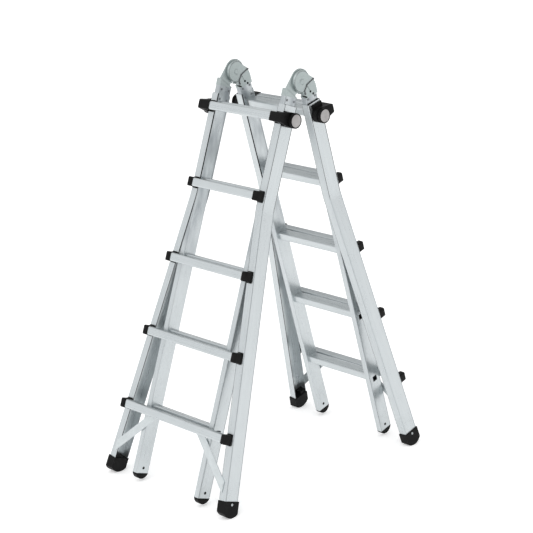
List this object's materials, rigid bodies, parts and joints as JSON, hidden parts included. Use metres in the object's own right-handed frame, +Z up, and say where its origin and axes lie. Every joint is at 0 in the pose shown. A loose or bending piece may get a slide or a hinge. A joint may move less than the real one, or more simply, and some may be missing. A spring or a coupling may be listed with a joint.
{
  "type": "multi position ladder",
  "caption": "Aluminium multi position telescoping ladder standing as a stepladder, with flared outer legs, locking hinges, push knobs and black feet.",
  "frame": {"origin": "on the floor, under the hinge axis, midway between the stiles", "axes": "+X along the rungs, -Y towards the front ladder, +Z up"},
  "size_m": [0.6352, 1.0428, 1.4891],
  "materials": {
    "aluminium": "brushed extruded",
    "zinc_steel": "zinc plated",
    "strap_steel": "zinc plated",
    "fastener_steel": "zinc plated",
    "black_plastic": "satin moulded"
  },
  "bodies": {
    "front_inner": {"front_inner_stile_left": "aluminium", "front_inner_stile_right": "aluminium", "front_inner_rungs": "aluminium", "front_inner_end_caps": "black_plastic", "front_hinge_arm_left": "zinc_steel", "front_hinge_arm_right": "zinc_steel", "front_hinge_rivets": "fastener_steel"},
    "rear_inner": {"rear_inner_stile_left": "aluminium", "rear_inner_stile_right": "aluminium", "rear_inner_rungs": "aluminium", "rear_inner_end_caps": "black_plastic", "rear_hinge_arm_left": "zinc_steel", "rear_hinge_arm_right": "zinc_steel", "hinge_pin_left": "fastener_steel", "hinge_pin_right": "fastener_steel", "rear_hinge_rivets": "fastener_steel", "fold_buffers": "black_plastic"},
    "front_outer": {"front_outer_stile_left": "aluminium", "front_outer_stile_right": "aluminium", "front_outer_rung_1": "aluminium", "front_outer_rung_2": "aluminium", "front_outer_rung_3": "aluminium", "front_outer_rung_4": "aluminium", "front_outer_rung_5": "aluminium", "front_rung_caps": "black_plastic", "front_guide_strips": "black_plastic", "front_lock_housing_left": "black_plastic", "front_lock_housing_right": "black_plastic", "front_lock_springs": "fastener_steel", "front_foot_left": "black_plastic", "front_foot_right": "black_plastic", "front_foot_screws": "fastener_steel", "front_brace_strap_left": "strap_steel", "front_brace_strap_right": "strap_steel", "front_brace_rivets": "fastener_steel"},
    "rear_outer": {"rear_outer_stile_left": "aluminium", "rear_outer_stile_right": "aluminium", "rear_outer_rung_1": "aluminium", "rear_outer_rung_2": "aluminium", "rear_outer_rung_3": "aluminium", "rear_outer_rung_4": "aluminium", "rear_outer_rung_5": "aluminium", "rear_rung_caps": "black_plastic", "rear_guide_strips": "black_plastic", "rear_lock_housing_left": "black_plastic", "rear_lock_housing_right": "black_plastic", "rear_lock_springs": "fastener_steel", "rear_foot_left": "black_plastic", "rear_foot_right": "black_plastic", "rear_foot_screws": "fastener_steel", "rear_brace_strap_left": "strap_steel", "rear_brace_strap_right": "strap_steel", "rear_brace_rivets": "fastener_steel"},
    "front_lock_left": {"front_lock_knob_left": "black_plastic", "front_lock_bolt_left": "fastener_steel"},
    "front_lock_right": {"front_lock_knob_right": "black_plastic", "front_lock_bolt_right": "fastener_steel"},
    "rear_lock_left": {"rear_lock_knob_left": "black_plastic", "rear_lock_bolt_left": "fastener_steel"},
    "rear_lock_right": {"rear_lock_knob_right": "black_plastic", "rear_lock_bolt_right": "fastener_steel"},
    "lever_left": {"release_lever_left": "zinc_steel"},
    "lever_right": {"release_lever_right": "zinc_steel"}
  },
  "joints": [
    {"name": "fold", "type": "hinge", "parent": "front_inner", "child": "rear_inner", "pos_m": [0, 0, 1.44408], "axis": [1, 0, 0], "range_deg": [-34.2, 144.6]},
    {"name": "front_extend", "type": "slide", "parent": "front_inner", "child": "front_outer", "axis": [0, -0.304, -0.9527], "range_m": [0, 1.12]},
    {"name": "rear_extend", "type": "slide", "parent": "rear_inner", "child": "rear_outer", "axis": [0, 0.304, -0.9527], "range_m": [0, 1.12]},
    {"name": "front_lock_slide_left", "type": "slide", "parent": "front_outer", "child": "front_lock_left", "axis": [1, 0, 0], "range_m": [0, 0.007]},
    {"name": "front_lock_slide_right", "type": "slide", "parent": "front_outer", "child": "front_lock_right", "axis": [-1, 0, 0], "range_m": [0, 0.007]},
    {"name": "rear_lock_slide_left", "type": "slide", "parent": "rear_outer", "child": "rear_lock_left", "axis": [1, 0, 0], "range_m": [0, 0.007]},
    {"name": "rear_lock_slide_right", "type": "slide", "parent": "rear_outer", "child": "rear_lock_right", "axis": [-1, 0, 0], "range_m": [0, 0.007]},
    {"name": "lever_swing_left", "type": "hinge", "parent": "rear_inner", "child": "lever_left", "pos_m": [0, 0.05803, 1.40696], "axis": [-1, 0, 0], "range_deg": [0, 8.1]},
    {"name": "lever_swing_right", "type": "hinge", "parent": "rear_inner", "child": "lever_right", "pos_m": [0, 0.05803, 1.40696], "axis": [-1, 0, 0], "range_deg": [0, 8.1]}
  ]
}
